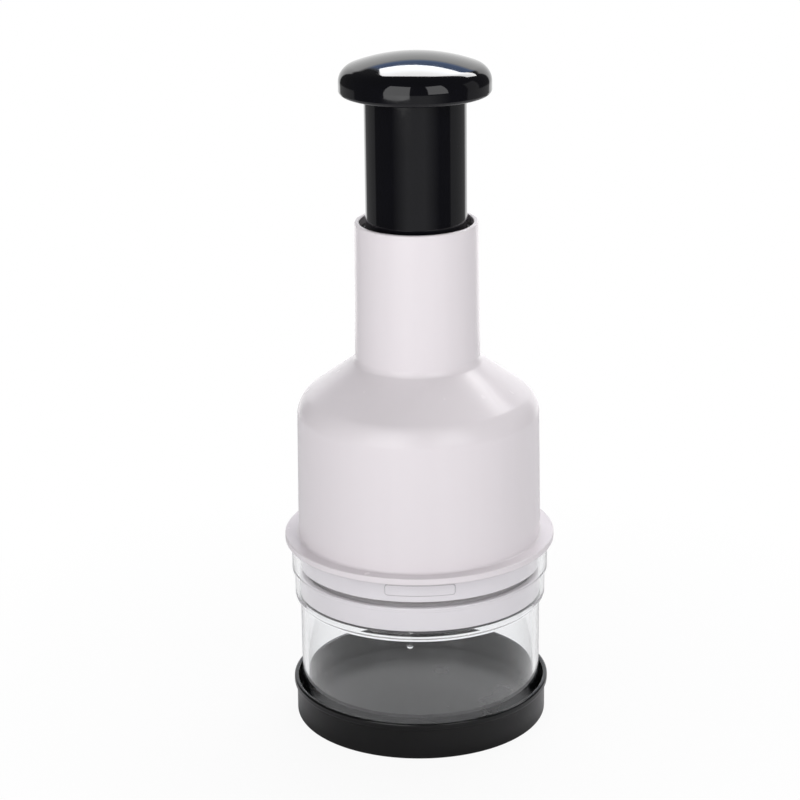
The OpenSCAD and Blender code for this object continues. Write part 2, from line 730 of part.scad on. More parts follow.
// A strip of steel folded into a W, ground along its lower edge, with a leg on each panel
module folded_blade(folds) {
    edge_half = 0.08;
    n = 2 * len(folds);
    color(steel) {
        polyhedron(
            points = concat(
                strip_ring(folds, edge_half, tip_z),
                strip_ring(folds, blade_t / 2, tip_z + bevel_h),
                strip_ring(folds, blade_t / 2, band_top_z)),
            faces = concat(
                [for (level = [0, 1], i = [0:n - 1])
                    let (a = level * n + i, b = level * n + (i + 1) % n) [a, b, b + n, a + n]],
                [for (i = [0:len(folds) - 2]) [i, n - 1 - i, n - 2 - i, i + 1]],
                [for (i = [0:len(folds) - 2]) [3 * n - 1 - i, 2 * n + i, 2 * n + i + 1, 3 * n - 2 - i]])
        );
        // The legs are ground a hair thinner than the strip
        at_panels(folds) translate([-leg_w / 2, 0.02 - blade_t / 2, band_top_z - 1])
            cube([leg_w, blade_t - 0.04, cap_z - band_top_z + 1]);
    }
}

module blade_front() { folded_blade(front_folds); }
module blade_middle() { folded_blade(middle_folds); }
module blade_back() { folded_blade(back_folds); }

// ---- Guard with a slot for every blade ----
// The folds with both ends carried on by some length
function longer(folds, by) =
    let (last = len(folds) - 1)
    [for (i = [0:last])
        i == 0 ? folds[0] + unit(folds[0] - folds[1]) * by
        : i == last ? folds[last] + unit(folds[last] - folds[last - 1]) * by
        : folds[i]];

module blade_slots(folds) {
    half = blade_t / 2 + slot_gap;
    line = longer(folds, slot_gap);
    far_side = side_line(line, -half);
    translate([0, 0, guard_z - 1]) linear_extrude(guard_floor + 2)
        polygon(concat(side_line(line, half), [for (i = [len(line) - 1:-1:0]) far_side[i]]));
}

module blade_guard() {
    hook_top_z = barb_z + 2.4;
    hook_deg = 24;
    floor_top_z = guard_z + guard_floor;
    hook_out = hook_r + hook_t;
    ring_out = hook_out - 0.1;
    color(white) {
        difference() {
            turned([
                [0, guard_z, 0], [guard_r, guard_z, 0.6], [guard_r, guard_top_z, 0.5],
                [guard_r - guard_wall, guard_top_z, 0.5], [guard_r - guard_wall, floor_top_z, 0.8],
                [ring_out, floor_top_z, 0.8], [ring_out, skirt_z, 0.3],
                [ring_out - hook_ring_t, skirt_z, 0.3], [ring_out - hook_ring_t, floor_top_z, 0],
                [0, floor_top_z, 0]
            ]);
            for (folds = [front_folds, middle_folds, back_folds]) blade_slots(folds);
        }
        for (i = [0:guard_hooks - 1]) rotate([0, 0, (i + 0.5) * 360 / guard_hooks - hook_deg / 2])
            rotate_extrude(angle = hook_deg) polygon([
                [hook_r, floor_top_z - 0.5], [hook_out, floor_top_z - 0.5],
                [hook_out, barb_z], [hook_out + 1.4, barb_z],
                [hook_out + 1.4, barb_z + 0.6], [hook_out, hook_top_z], [hook_r, hook_top_z]
            ]);
    }
}

base_cap();
clear_cup();
housing();
neck_collar();
spring_barrel();
barrel_screws();
ratchet_ring();
index_nut();
return_spring();
stem_tube();
knob();
bearing_plug();
spring_cap();
drive_bar();
thrust_washer();
shaft_clip();
blade_holder();
holder_cap();
holder_screws();
hub_washer();
hub_screw();
blade_front();
blade_middle();
blade_back();
blade_guard();
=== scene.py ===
"""Plunger food chopper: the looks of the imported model, as the product stands on a white table.

Every piece is drawn in millimetres, from the sizes of the CAD node that it stands for, and
written to its mesh in metres. Turned mouldings are spun from their section, and the blades
are bent from a strip as the press brake bends them.
"""
import math

import bmesh
import bpy
from mathutils import Matrix, Vector

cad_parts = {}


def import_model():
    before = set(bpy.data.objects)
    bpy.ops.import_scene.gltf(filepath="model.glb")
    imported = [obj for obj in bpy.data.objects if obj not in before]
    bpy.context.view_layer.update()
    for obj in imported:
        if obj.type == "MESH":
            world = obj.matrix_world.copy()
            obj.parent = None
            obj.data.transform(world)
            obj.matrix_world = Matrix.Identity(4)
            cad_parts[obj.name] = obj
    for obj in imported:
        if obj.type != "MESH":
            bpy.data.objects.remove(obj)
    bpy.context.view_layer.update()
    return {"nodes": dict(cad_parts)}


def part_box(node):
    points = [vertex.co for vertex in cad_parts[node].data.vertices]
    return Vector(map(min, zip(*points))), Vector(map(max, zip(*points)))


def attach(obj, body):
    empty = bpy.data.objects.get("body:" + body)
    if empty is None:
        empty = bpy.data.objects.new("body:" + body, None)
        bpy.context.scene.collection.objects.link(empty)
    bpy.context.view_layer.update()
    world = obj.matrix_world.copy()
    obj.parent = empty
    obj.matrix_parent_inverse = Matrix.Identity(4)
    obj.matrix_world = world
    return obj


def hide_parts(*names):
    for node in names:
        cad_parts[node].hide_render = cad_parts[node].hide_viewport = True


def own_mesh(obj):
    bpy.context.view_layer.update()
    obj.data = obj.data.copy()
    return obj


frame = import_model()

# ---- Units and mesh fineness ----
MM = 0.001
TURN_STEPS = 192        # facets round a turned piece
ROUND_STEPS = 8         # facets round a small fillet
SHARP = math.radians(32)  # edges sharper than this stay crisp


def foot(node):
    """Height of a node's underside, in millimetres."""
    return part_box(node)[0].z / MM


def top(node):
    """Height of a node's top, in millimetres."""
    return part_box(node)[1].z / MM


def reach(node):
    """Radius of a turned node, in millimetres."""
    low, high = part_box(node)
    return (high.x - low.x) / 2 / MM


# ---- Materials ----
def linear(code):
    """An sRGB hex colour as the linear colour that a shader reads."""
    parts = [int(code[i:i + 2], 16) / 255 for i in (1, 3, 5)]
    return [c / 12.92 if c <= 0.04045 else ((c + 0.055) / 1.055) ** 2.4 for c in parts] + [1.0]


def add(tree, kind, inputs=None, **settings):
    """Adds a node, with its settings, and links or sets each of its inputs."""
    node = tree.nodes.new(kind)
    for name, value in settings.items():
        setattr(node, name, value)
    for name, value in (inputs or {}).items():
        socket = node.inputs[name]
        if isinstance(value, bpy.types.NodeSocket):
            tree.links.new(value, socket)
        else:
            socket.default_value = value
    return node


def new_material(name, **sockets):
    """A material with one Principled shader, and its place on the piece in metres."""
    material = bpy.data.materials.new(name)
    material.use_nodes = True
    tree = material.node_tree
    tree.nodes.clear()
    surface = add(tree, "ShaderNodeBsdfPrincipled", {
        name.replace("_", " "): value for name, value in sockets.items()})
    add(tree, "ShaderNodeOutputMaterial", {"Surface": surface.outputs["BSDF"]})
    place = add(tree, "ShaderNodeTexCoord").outputs["Object"]
    return material, tree, surface, place


def pattern(size):
    """The scale at which a texture's features are this many millimetres across."""
    return 1 / (size * MM)


def noise(tree, place, size, detail=2.0, roughness=0.5):
    """A cloud of marks, each about this many millimetres across."""
    return add(tree, "ShaderNodeTexNoise", {
        "Vector": place, "Scale": pattern(size),
        "Detail": detail, "Roughness": roughness}).outputs["Fac"]


def between(tree, value, low, high, start=0.3, end=0.7, **settings):
    """A value that runs from low to high while another runs from start to end."""
    return add(tree, "ShaderNodeMapRange", {
        "Value": value, "From Min": start, "From Max": end, "To Min": low, "To Max": high},
        **settings).outputs["Result"]


def finish(tree, surface, tone, dark, light, rough, height, strength, depth):
    """Links a colour between two tones, a roughness and a bump to the shader."""
    colour = add(tree, "ShaderNodeMix", {
        "Factor": tone, "A": linear(dark), "B": linear(light)}, data_type="RGBA")
    bump = add(tree, "ShaderNodeBump", {
        "Height": height, "Strength": strength, "Distance": depth * MM})
    tree.links.new(colour.outputs["Result"], surface.inputs["Base Color"])
    tree.links.new(rough, surface.inputs["Roughness"])
    tree.links.new(bump.outputs["Normal"], surface.inputs["Normal"])


def gloss_black():
    """ABS, moulded in a polished tool: deep and shiny, with the slow ripple that cooling leaves
    in thick places and fine wipe marks that blur the shine a little here and there."""
    material, tree, surface, place = new_material("abs_gloss_black", IOR=1.5)
    wipes = between(tree, noise(tree, place, 2.2, 8.0, 0.7), 0.035, 0.085, 0.35, 0.75)
    finish(tree, surface, noise(tree, place, 14, 3.0), "#08080C", "#0D0D13", wipes,
           noise(tree, place, 12, 1.0), 0.3, 0.05)
    return material


def satin_black():
    """ABS, moulded in a fine spark-eroded tool: the grain spreads the light to a soft grey sheen,
    and handling polishes it in slow patches."""
    material, tree, surface, place = new_material("abs_satin_black", IOR=1.5)
    surface.inputs["Specular IOR Level"].default_value = 0.4
    cloud = noise(tree, place, 18, 4.0)
    finish(tree, surface, cloud, "#09090A", "#0F0F10", between(tree, cloud, 0.2, 0.28),
           noise(tree, place, 0.9), 0.12, 0.01)
    return material


def moulded_white(name, dark, light, part=None):
    """ABS, moulded in a lapped tool: a cool white with a breath of pink, a soft shine that
    handling dulls in places, and faint flow lines along the draw. Part, if given, tints a zone of
    it."""
    material, tree, surface, place = new_material(name, IOR=1.5)
    flow = add(tree, "ShaderNodeMapping", {
        "Vector": place, "Scale": (pattern(5), pattern(5), pattern(120))})
    streaks = add(tree, "ShaderNodeTexNoise", {
        "Vector": flow.outputs["Vector"], "Scale": 1.0, "Detail": 1.0, "Roughness": 0.4}).outputs["Fac"]
    tone = between(tree, streaks, 0.0, 1.0, 0.1, 0.9)
    finish(tree, surface, tone, dark, light, between(tree, tone, 0.25, 0.28, 0.0, 1.0),
           noise(tree, place, 0.3), 0.03, 0.01)
    if part:
        part(tree, surface, place)
    return material


def hook_ring_painted_shade(tree, surface, place):
    """Paints shade on the ring above the guard's wall: a grey that stands in for the shadow in the gap
    over the guard.
    """
    at = add(tree, "ShaderNodeSeparateXYZ", {"Vector": place})
    flat = add(tree, "ShaderNodeCombineXYZ", {"X": at.outputs["X"], "Y": at.outputs["Y"]})
    radius = add(tree, "ShaderNodeVectorMath", {0: flat.outputs["Vector"]},
                 operation="LENGTH").outputs["Value"]
    ring_in, ring_out, ring_foot, ring_top = 37.4 * MM, 37.7 * MM, 54.0 * MM, 55.2 * MM
    inside = between(tree, radius, 1.0, 0.0, ring_in, ring_out)
    above = between(tree, at.outputs["Z"], 0.0, 1.0, ring_foot, ring_top)
    ring = add(tree, "ShaderNodeMath", {0: inside, 1: above}, operation="MULTIPLY").outputs["Value"]
    white = surface.inputs["Base Color"].links[0].from_socket
    # Painted shade: the white is mixed towards grey on the hook ring, for the shadow in the gap above
    # the guard
    grey = add(tree, "ShaderNodeMix", {
        "Factor": ring, "A": white, "B": linear("#8C8584")}, data_type="RGBA")
    tree.links.new(grey.outputs["Result"], surface.inputs["Base Color"])


def clear_san():
    """SAN, moulded in a polished tool: water-clear, with bright rims, the slow ripple of the melt
    and hairline wash scratches. Light passes straight through it, so what stands inside is lit
    once, as it is through the real thin wall."""
    material, tree, surface, place = new_material("san_clear", IOR=1.5, Transmission_Weight=1.0)
    wash = between(tree, noise(tree, place, 1.5, 6.0, 0.7), 0.008, 0.04, 0.4, 0.8)
    finish(tree, surface, noise(tree, place, 20), "#FBFCFD", "#FEFEFF", wash,
           noise(tree, place, 16, 1.0), 0.2, 0.05)
    shade = add(tree, "ShaderNodeBsdfTransparent", {"Color": linear("#FDFEFE")})
    rays = add(tree, "ShaderNodeLightPath")
    passed = add(tree, "ShaderNodeMath", {
        0: rays.outputs["Is Shadow Ray"], 1: rays.outputs["Is Diffuse Ray"]}, operation="MAXIMUM")
    mixed = add(tree, "ShaderNodeMixShader", {
        0: passed.outputs["Value"], 1: surface.outputs["BSDF"], 2: shade.outputs["BSDF"]})
    tree.links.new(mixed.outputs["Shader"], tree.nodes["Material Output"].inputs["Surface"])
    return material


def natural_acetal():
    """Acetal, machined and moulded: a waxy cream white with a low, smooth sheen."""
    material, tree, surface, place = new_material(
        "acetal_natural", IOR=1.48,
        Subsurface_Weight=0.2, Subsurface_Scale=1.5 * MM, Subsurface_Radius=(1.0, 0.95, 0.85))
    cloud = noise(tree, place, 6, 3.0)
    finish(tree, surface, cloud, "#ECE9DF", "#F2EFE6", between(tree, cloud, 0.3, 0.42),
           noise(tree, place, 0.8), 0.15, 0.02)
    return material


def drawn_metal(name, dark, light, line, run, dull, bright, depth):
    """A metal with fine lines left by its making: line and run are the lines' width and length in
    millimetres, drawn coarse enough to show, across Z as rolling and turning leave them."""
    material, tree, surface, place = new_material(name, Metallic=1.0)
    lay = add(tree, "ShaderNodeMapping", {
        "Vector": place, "Scale": (pattern(run), pattern(run), pattern(line))})
    lines = add(tree, "ShaderNodeTexNoise", {
        "Vector": lay.outputs["Vector"], "Scale": 1.0, "Detail": 4.0, "Roughness": 0.6}).outputs["Fac"]
    blend = add(tree, "ShaderNodeMath", {
        0: lines, 1: noise(tree, place, 9, 3.0)}, operation="MULTIPLY").outputs["Value"]
    finish(tree, surface, lines, dark, light, between(tree, blend, bright, dull, 0.12, 0.4),
           lines, 0.3, depth)
    return material


GLOSS_BLACK = gloss_black()
SATIN_BLACK = satin_black()
WHITE = moulded_white("abs_moulded_white", "#E8E2E6", "#EAE4E8")
# The blade guard's white, with painted shade in grey on its hook ring
GUARD_WHITE_PAINTED_SHADE = moulded_white("abs_white_guard_painted_shade", "#E8E2E6", "#EAE4E8", hook_ring_painted_shade)
# Painted shade: the lug's flanks get a darker white that stands in for the shade between the skirt and
# the cup's collar
FLANK_PAINTED_SHADE = moulded_white("abs_white_flank_painted_shade", "#BAB4B8", "#C0BABE")
CLEAR = clear_san()
ACETAL = natural_acetal()
# Cold-rolled stainless strip: fine rolling lines along the strip
STRIP_STEEL = drawn_metal("stainless_rolled_strip", "#B9BABC", "#D3D4D6", 0.25, 9, 0.3, 0.16, 0.01)
# The same steel where it is ground to an edge: brighter, with lines across the slope
GROUND_STEEL = drawn_metal("stainless_ground_edge", "#CDCED0", "#E6E7E8", 0.15, 2, 0.22, 0.1, 0.01)
# Plated carbon steel bar, drawn and twisted
BAR_STEEL = drawn_metal("steel_nickel_plated_bar", "#A9AAAB", "#C6C6C5", 0.3, 6, 0.34, 0.2, 0.01)
# Spring wire with its dull drawn skin
SPRING_STEEL = drawn_metal("spring_wire_drawn", "#8E8F92", "#ADAEB0", 0.3, 3, 0.4, 0.24, 0.01)
# Zinc-plated screws and washers
SCREW_STEEL = drawn_metal("steel_zinc_plated", "#B3B5B8", "#CFD0D2", 0.4, 1.5, 0.36, 0.22, 0.01)


# ---- Meshes ----
def section(bm, corners):
    """Draws a closed outline in the XZ plane from (radius, height, fillet) corners. An edge
    along the axis is left out, and each corner is rounded by its fillet."""
    points = [bm.verts.new((r * MM, 0, z * MM)) for r, z, _ in corners]
    before, after = points[-1:] + points[:-1], points[1:] + points[:1]
    for a, b in zip(points, after):
        if a.co.x > 0 or b.co.x > 0:
            bm.edges.new((a, b))
    setbacks = []
    for a, point, b, (_, _, fillet) in zip(before, points, after, corners):
        if fillet:
            half = (a.co - point.co).angle(b.co - point.co) / 2
            setbacks.append((point, fillet * MM / math.tan(half)))
    for point, setback in setbacks:
        bmesh.ops.bevel(bm, geom=[point], offset=setback, offset_type="OFFSET",
                        segments=ROUND_STEPS, profile=0.5, affect="VERTICES", material=-1)


def turned(corners, steps=TURN_STEPS):
    """A section spun once round the axis, closed at its poles and facing outwards."""
    bm = bmesh.new()
    section(bm, corners)
    bmesh.ops.spin(bm, geom=bm.verts[:] + bm.edges[:], cent=(0, 0, 0), axis=(0, 0, 1),
                   angle=math.tau, steps=steps, use_merge=True)
    tidy(bm)
    return bm


def tidy(bm):
    """Merges doubles and turns every face outwards."""
    bmesh.ops.remove_doubles(bm, verts=bm.verts[:], dist=0.0005 * MM)
    bmesh.ops.recalc_face_normals(bm, faces=bm.faces[:])


def join(bm, other):
    """Adds the faces of another bmesh to bm."""
    mesh = bpy.data.meshes.new("part")
    other.to_mesh(mesh)
    other.free()
    bm.from_mesh(mesh)
    bpy.data.meshes.remove(mesh)


def block(bm, size, centre, turn=0.0):
    """Adds a cuboid of a size and centre in millimetres, turned about the axis."""
    place = (Matrix.Rotation(turn, 4, "Z") @ Matrix.Translation(Vector(centre) * MM)
             @ Matrix.Diagonal((*(s * MM for s in size), 1)))
    return bmesh.ops.create_cube(bm, size=1, matrix=place)["verts"]


def piece(name, bm, body, materials, stands_for=()):
    """Makes an object of bm that rides on a body and stands for CAD nodes."""
    mesh = bpy.data.meshes.new(name)
    bm.to_mesh(mesh)
    bm.free()
    for material in materials:
        mesh.materials.append(material)
    mesh.shade_smooth()
    mesh.set_sharp_from_angle(angle=SHARP)
    made = bpy.data.objects.new(name, mesh)
    bpy.context.scene.collection.objects.link(made)
    level = made.modifiers.new("flat faces stay flat", "WEIGHTED_NORMAL")
    level.keep_sharp = True
    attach(made, body)
    if stands_for:
        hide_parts(*stands_for)
    return made


# ---- Base cap ----
CUP_R, CUP_BORE = 41.75, 39.75


def base_cap():
    """The black cap that the cup stands in: a plain side, a bead round the rim, the chopping
    floor, the groove for the cup and the ribs that centre it."""
    high = top("base_cap")
    rim_r = reach("base_cap")
    side_r, bore_r = rim_r - 0.9, rim_r - 1.6
    cup_foot, floor_z, recess = foot("clear_cup"), foot("clear_cup") + 2, 2.4
    floor_r, foot_r = CUP_BORE - 0.45, side_r - 5
    bead_z = high - 2.5
    bm = turned([
        (0, recess, 0), (foot_r, recess, 0.6), (foot_r, 0, 0.4),
        (side_r, 0, 0.8), (side_r, bead_z, 0.3), (rim_r, bead_z, 0.8),
        (rim_r, high, 0.7), (bore_r, high, 0.7), (bore_r, cup_foot, 0.3),
        (floor_r, cup_foot, 0.3), (floor_r, floor_z, 0.5), (0, floor_z, 0)])
    ribs, rib_w, rib_h, rib_z = 8, 1.2, high - 5, cup_foot - 0.2
    rib_in, rib_out = CUP_R + 0.25, bore_r + 0.05
    for i in range(ribs):
        block(bm, (rib_out - rib_in, rib_w, rib_h),
              ((rib_in + rib_out) / 2, 0, rib_z + rib_h / 2), turn=(i + 0.5) * math.tau / ribs)
    piece("base_cap_moulding", bm, "base", [SATIN_BLACK], ["base_cap"])


# ---- Clear cup ----
def clear_cup():
    """The clear cup: a thin straight wall, the wider collar that holds the housing with the band
    round its rim, the shallow channel at the collar's front, and the gate's mark below it."""
    low, high, rim_r = foot("clear_cup"), top("clear_cup"), reach("clear_cup")
    collar_bore = 42.1
    ledge, band_z, collar_r = high - 18.8, high - 10.8, rim_r - 0.8
    bm = turned([
        (CUP_BORE, low, 0.3), (CUP_R, low, 0.5), (CUP_R, ledge - 2.6, 1.5),
        (collar_r - 0.1, ledge - 1.6, 1.5), (collar_r, band_z, 0.3), (rim_r, band_z + 0.3, 0.3),
        (rim_r, high, 0.4), (collar_bore, high, 0.4),
        (collar_bore, ledge, 0.2), (CUP_BORE, ledge, 0.6)])
    half, depth, side_slope, margin = 14.65 * MM, 0.5, 1.0 * MM, 4 * MM
    for side in (-half, half):
        near = [f for f in bm.faces if f.calc_center_median().y < 0
                and abs(f.calc_center_median().x - side) < margin
                and is_collar_bore(f, collar_bore)]
        bmesh.ops.bisect_plane(bm, geom=near + list({e for f in near for e in f.edges})
                               + list({v for f in near for v in f.verts}),
                               plane_co=(side, 0, 0), plane_no=(1, 0, 0))
    channel = [f for f in bm.faces if abs(f.calc_center_median().x) < half
               and f.calc_center_median().y < 0 and is_collar_bore(f, collar_bore)]
    pushed = bmesh.ops.extrude_face_region(bm, geom=channel)["geom"]
    bmesh.ops.delete(bm, geom=channel, context="FACES_ONLY")
    out = 1 + depth / collar_bore
    for vert in (g for g in pushed if isinstance(g, bmesh.types.BMVert)):
        vert.co.x *= out * (1 - side_slope / half)
        vert.co.y *= out
    tidy(bm)
    gate_place = Vector((-3.5, -CUP_R + 0.1, ledge - 5.0)) * MM
    gate = bmesh.ops.create_uvsphere(bm, u_segments=16, v_segments=8, radius=1 * MM)["verts"]
    bmesh.ops.scale(bm, verts=gate, vec=(1.1, 0.35, 0.95))
    bmesh.ops.translate(bm, verts=gate, vec=gate_place)
    piece("clear_cup_moulding", bm, "cup", [CLEAR], ["clear_cup"])


def is_collar_bore(face, radius):
    """Whether a face is in the straight bore of the cup's collar."""
    return (all(abs(v.co.xy.length / MM - radius) < 0.05 for v in face.verts)
            and abs(face.normal.z) < 0.1)


# ---- Housing ----
def housing():
    """The white housing: skirt, flange, body, shoulder and neck in one moulding, with its
    inner wall, the lip that holds the guard and the pocket for the neck ring."""
    low, high, flange_r = foot("housing"), top("housing"), reach("housing")
    flange_z = top("clear_cup")
    flange_top = flange_z + 2.5
    ring_z, ring_top = foot("neck_collar"), top("neck_collar")
    skirt_r, skirt_bore, lip_r = 41.4, 39.4, 37.6
    body_low, body_high, corner_z = 42.0, 41.35, 115.1
    neck_low, neck_high, pocket_r, bore_r = 21.25, 20.8, 19.2, 18.6
    shell, slope = 2.0, math.radians(36)
    neck_z = corner_z + (body_high - neck_low) * math.tan(slope)
    under = corner_z + (body_high - bore_r) * math.tan(slope) - shell / math.cos(slope)
    inner_corner = corner_z - shell * math.tan((math.pi / 2 - slope) / 2)
    bm = turned([
        (skirt_r, low, 0.5), (skirt_r, flange_z, 0.4), (flange_r, flange_z, 0.8),
        (flange_r, flange_top, 0.4), (body_low, flange_top, 0.8), (body_high, corner_z, 9.3),
        (neck_low, neck_z, 3), (neck_high, high, 0.6), (pocket_r, high, 0.5),
        (pocket_r, ring_top - 0.3, 0), (pocket_r, ring_z, 0), (bore_r, ring_z, 0),
        (bore_r, under, 1), (body_high - shell, inner_corner, 7.3),
        (body_low - shell, flange_top + 1, 0), (skirt_bore, flange_z, 0),
        (skirt_bore, low + 5, 0), (lip_r, low + 5, 0.2), (lip_r, low + 3, 0.2),
        (skirt_bore, low + 2, 0), (skirt_bore, low, 0.4)])
    piece("housing_moulding", bm, "housing", [WHITE], ["housing"])
    screw_bosses()
    skirt_lug(skirt_r, flange_z)


def screw_bosses():
    """The three bosses under the shoulder that take the barrel's screws."""
    bm = bmesh.new()
    face_z, blind_z, end_z = 114.5, 122.0, 123.0
    boss_r, hole_r, circle_r = 3.6, 1.25, 26
    for i in range(3):
        boss = turned([(0, end_z, 0), (boss_r, end_z - 2, 0), (boss_r, face_z, 0.3),
                       (hole_r, face_z, 0.2), (hole_r, blind_z, 0), (0, blind_z, 0)], steps=32)
        angle = math.radians(90 + i * 120)
        bmesh.ops.translate(boss, verts=boss.verts[:],
                            vec=Vector((math.cos(angle), math.sin(angle), 0)) * circle_r * MM)
        join(bm, boss)
    piece("housing_screw_bosses", bm, "housing", [WHITE])


def skirt_lug(skirt_r, flange_z):
    """The rounded lug on the front of the skirt that drops into the cup's channel."""
    width, height, stand, corner, rim_round = 23.6, 4.1, 0.45, 1.2, 0.35
    middle = flange_z - 1.4 - height / 2
    bm = bmesh.new()
    corners = [(-1, -1), (1, -1), (1, 1), (-1, 1)]
    face = bm.faces.new([bm.verts.new((x * width / 2 * MM, 0, (middle + z * height / 2) * MM))
                         for x, z in corners])
    bmesh.ops.bevel(bm, geom=face.verts[:], offset=corner * MM, offset_type="OFFSET", segments=6,
                    profile=0.5, affect="VERTICES", material=-1)
    strips = 28
    for i in range(1, strips):
        bmesh.ops.bisect_plane(bm, geom=bm.verts[:] + bm.edges[:] + bm.faces[:],
                               plane_co=((i / strips - 0.5) * width * MM, 0, 0), plane_no=(1, 0, 0))
    grown = bmesh.ops.extrude_face_region(bm, geom=bm.faces[:])["geom"]
    outer = {g for g in grown if isinstance(g, bmesh.types.BMVert)}
    for vert in bm.verts:
        radius = (skirt_r + stand if vert in outer else skirt_r - 0.4) * MM
        angle = vert.co.x / (skirt_r * MM)
        vert.co.x, vert.co.y = radius * math.sin(angle), -radius * math.cos(angle)
    tidy(bm)
    rim = [e for e in bm.edges if e.calc_face_angle(0) > math.radians(60)
           and all(v in outer for v in e.verts)]
    bmesh.ops.bevel(bm, geom=rim, offset=rim_round * MM, offset_type="OFFSET", segments=3,
                    profile=0.5, affect="EDGES", material=-1)
    tidy(bm)
    # Painted shade: faces that turn away from the radial, the lug's flanks and rounded rim, take the
    # darker white
    for face in bm.faces:
        middle_of = face.calc_center_median()
        out = Vector((middle_of.x, middle_of.y, 0)).normalized()
        face.material_index = int(face.normal.dot(out) < 0.995)
    piece("housing_skirt_lug", bm, "housing", [WHITE, FLANK_PAINTED_SHADE])


# ---- Neck ring, stem and knob ----
STEM_R = 17.1


def neck_ring():
    """The black ring that closes the neck round the stem."""
    low, high = foot("neck_collar"), top("neck_collar")
    inner, outer = STEM_R + 0.08, 19.15
    bm = turned([(inner, low, 0.3), (outer, low, 0.2), (outer, high, 0.5), (inner, high, 0.5)])
    piece("neck_ring_moulding", bm, "housing", [SATIN_BLACK], ["neck_collar"])


def stem():
    """The black stem tube, with the foot that stops it under the neck ring."""
    low, high, foot_r = foot("stem_tube"), top("stem_tube"), reach("stem_tube")
    bore_r, foot_top = 14.6, low + 5
    bm = turned([
        (bore_r, low, 0.6), (foot_r, low, 0.8), (foot_r, foot_top, 0.4), (STEM_R, foot_top, 0),
        (STEM_R, high, 0.3), (bore_r, high, 0.3)])
    piece("stem_tube_moulding", bm, "plunger", [GLOSS_BLACK], ["stem_tube"])


def arc(r, z, radius, start, end, steps):
    """Section corners along an arc about (r, z), between two tilts from upright."""
    tilts = [start + (end - start) * i / steps for i in range(steps + 1)]
    return [(r + radius * math.sin(t), z + radius * math.cos(t), 0) for t in tilts]


def knob():
    """The mushroom knob: a shallow crown, a soft edge, and the ribbed hollow under it."""
    high, rim_r = top("knob"), reach("knob")
    spigot_z = foot("knob")
    skirt_z = high - 13.3
    crown_r, edge_r = 62.0, 6.0
    crown_z = high - crown_r
    meet = math.asin((rim_r - edge_r) / (crown_r - edge_r))
    edge_z = crown_z + (crown_r - edge_r) * math.cos(meet)
    spigot_r, socket_r, hollow_r = 14.55, 17.15, 12.0
    groove_in, groove_out, groove_z = socket_r + 2, rim_r - 2.4, edge_z + 1.6
    crown = [*arc(rim_r - edge_r, edge_z, edge_r, math.pi / 2, meet, 12),
             *arc(0, crown_z, crown_r, meet, 0, 36)[1:]]
    bm = turned([
        (groove_out, skirt_z, 0.3), (rim_r, skirt_z, 1.5), *crown,
        (0, high - 4, 0), (hollow_r, high - 4.5, 0.5),
        (hollow_r, spigot_z, 0.2), (spigot_r, spigot_z, 0.2),
        (spigot_r, skirt_z + 5, 0), (socket_r, skirt_z + 5, 0), (socket_r, skirt_z, 0.3),
        (groove_in, skirt_z, 0.3), (groove_in, groove_z, 0.6), (groove_out, groove_z, 0.6)])
    ribs, rib_w, rib_foot, rib_top = 10, 1.2, skirt_z + 1, groove_z + 0.3
    for i in range(ribs):
        block(bm, (groove_out - groove_in + 0.6, rib_w, rib_top - rib_foot),
              ((groove_in + groove_out) / 2, 0, (rib_foot + rib_top) / 2), turn=i * math.tau / ribs)
    piece("knob_moulding", bm, "plunger", [GLOSS_BLACK], ["knob"])


# ---- Blades, bent from strip ----
STRIP_T = 0.8           # thickness of the strip
BEND_R = 1.6            # bend radius at the strip's middle
TIP_Z, BAND_TOP = 46.5, 62.5
BEVEL_H, EDGE_T = 1.6, 0.16
LEG_W, LEG_T = 6.0, STRIP_T - 0.04


def strip_section(bm, start, along):
    """The strip's own section at its start: an edge ground from both sides, and a softly broken
    back. Returns its corners and edges."""
    across = Vector((-along.y, along.x))
    half, back = STRIP_T / 2, 0.12
    outline = [(-EDGE_T / 2, TIP_Z), (EDGE_T / 2, TIP_Z), (half, TIP_Z + BEVEL_H),
               (half, BAND_TOP - back), (half - back, BAND_TOP), (back - half, BAND_TOP),
               (-half, BAND_TOP - back), (-half, TIP_Z + BEVEL_H)]
    verts = []
    for side, z in outline:
        at = start + across * side
        verts.append(bm.verts.new(Vector((at.x, at.y, z)) * MM))
    return verts + [bm.edges.new((a, b)) for a, b in zip(verts, verts[1:] + verts[:1])]


def draw_on(bm, geom, step):
    """Draws the strip's end section on in a straight line. Returns the new end."""
    edges = [g for g in geom if isinstance(g, bmesh.types.BMEdge)]
    grown = bmesh.ops.extrude_edge_only(bm, edges=edges)["geom"]
    verts = [g for g in grown if isinstance(g, bmesh.types.BMVert)]
    bmesh.ops.translate(bm, verts=verts, vec=Vector((step.x, step.y, 0)) * MM)
    ends = set(verts)
    return verts + [g for g in grown if isinstance(g, bmesh.types.BMEdge) and ends.issuperset(g.verts)]


